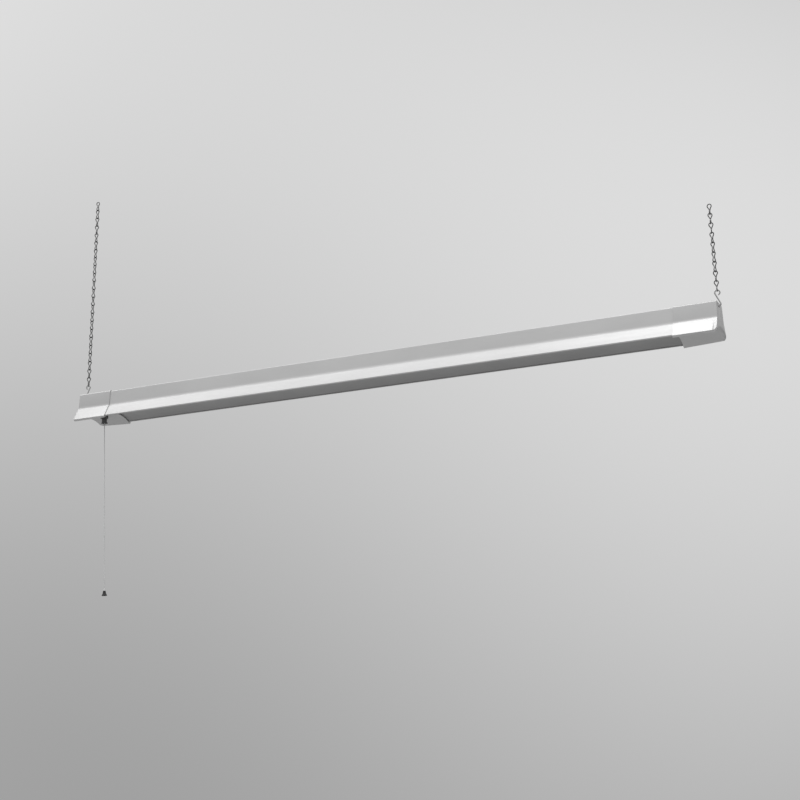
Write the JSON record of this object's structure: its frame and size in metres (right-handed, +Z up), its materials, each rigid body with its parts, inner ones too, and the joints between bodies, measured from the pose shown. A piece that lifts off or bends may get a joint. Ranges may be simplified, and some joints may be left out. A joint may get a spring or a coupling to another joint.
{
  "type": "hanging shop light",
  "caption": "Linear shop light with an arched lens and moulded end caps, hung on two jack chains with S-hooks, with a pull-cord switch.",
  "frame": {"origin": "on the straight line through the two chains' swing points, straight above the middle of the hood", "axes": "+X along the hood, away from the pull switch; +Y across it; +Z up"},
  "size_m": [1.178, 0.0838, 0.7479],
  "materials": {
    "hood": "satin",
    "cap": "matte",
    "lens": "frosted",
    "white_steel": "satin",
    "white_board": "solder mask over aluminium",
    "phosphor": "phosphor",
    "ivory": "moulded",
    "zinc": "bright zinc",
    "case": "plain",
    "black_sheet": "film",
    "green_board": "solder mask",
    "ferrite": "tape over ferrite",
    "can_sleeve": "sleeve",
    "enamelled_wire": "enamelled copper",
    "aluminium_rivet": "plain",
    "earth_green": "plated",
    "lead_black": "PVC",
    "lead_red": "PVC",
    "black_plastic": "moulded",
    "neck": "moulded",
    "contact_brass": "sprung brass",
    "spring_steel": "sprung steel",
    "white_plastic": "moulded",
    "cord": "braided"
  },
  "bodies": {
    "hangers": {"left_top_link": "zinc", "right_top_link": "zinc"},
    "left_swinger": {"left_swing_link": "zinc"},
    "left_chain": {"left_chain": "zinc", "left_hook": "zinc"},
    "fixture": {"housing": "hood", "left_end_cap": "cap", "right_end_cap": "cap", "lens": "lens", "led_tray": "white_steel", "led_boards": "white_board", "leds": "phosphor", "board_links": "ivory", "board_screws": "zinc", "driver_base": "case", "driver_cover": "case", "driver_insulator": "black_sheet", "driver_board": "green_board", "driver_transformer": "ferrite", "driver_capacitors": "can_sleeve", "driver_choke": "enamelled_wire", "driver_rivets": "aluminium_rivet", "terminal_block": "ivory", "terminal_screws": "zinc", "earth_screw": "earth_green", "mains_leads": "lead_black", "led_leads": "lead_red", "cap_screws": "zinc", "inlet_bushing": "black_plastic", "switch_body": "ivory", "switch_cover": "black_plastic", "switch_neck": "neck", "switch_nut": "neck", "switch_contacts": "contact_brass", "switch_spring": "spring_steel"},
    "right_chain": {"right_chain": "zinc", "right_hook": "zinc"},
    "pull": {"pull_arm": "white_plastic", "cord_inside": "cord"},
    "cord": {"pull_cord": "cord", "cord_sleeve": "white_plastic", "cord_bell": "black_plastic"},
    "ratchet": {"ratchet_wheel": "white_plastic"}
  },
  "joints": [
    {"name": "light_swing", "type": "hinge", "parent": "hangers", "child": "left_swinger", "pos_m": [0, 0, 0], "axis": [0.9827, 0, -0.1854], "range_deg": [-30, 30]},
    {"name": "light_sway", "type": "hinge", "parent": "left_swinger", "child": "left_chain", "pos_m": [-0.56349, 0, 0.08893], "axis": [0, 1, 0], "range_deg": [-3, 3]},
    {"name": "fixture_level", "type": "hinge", "parent": "left_chain", "child": "fixture", "pos_m": [-0.584, 0, -0.25621], "axis": [0, 1, 0], "range_deg": [-3, 3]},
    {"name": "right_chain_sway", "type": "hinge", "parent": "fixture", "child": "right_chain", "pos_m": [0.584, 0, -0.25621], "axis": [0, 1, 0], "range_deg": [-7.2, 7.2]},
    {"name": "pull_slide", "type": "slide", "parent": "fixture", "child": "pull", "axis": [0, 0, -1], "range_m": [0, 0.008], "stiffness_N_per_m": 300, "springref_m": -0.004, "deforming": ["switch_spring"]},
    {"name": "ratchet_turn", "type": "hinge", "parent": "fixture", "child": "ratchet", "pos_m": [-0.547, 0, -0.28415], "axis": [-1, 0, 0], "range_deg": [0, 45.1]},
    {"name": "cord_swing", "type": "hinge", "parent": "pull", "child": "cord", "pos_m": [-0.547, 0, -0.3107], "axis": [1, 0, 0], "range_deg": [-40, 40]}
  ],
  "couplings": [
    {"joint": "fixture_level", "follows": "light_sway", "ratio": -0.98244},
    {"joint": "right_chain_sway", "follows": "light_sway", "ratio": 2.3464},
    {"joint": "ratchet_turn", "follows": "pull_slide", "rad_per_m": 98.17}
  ]
}
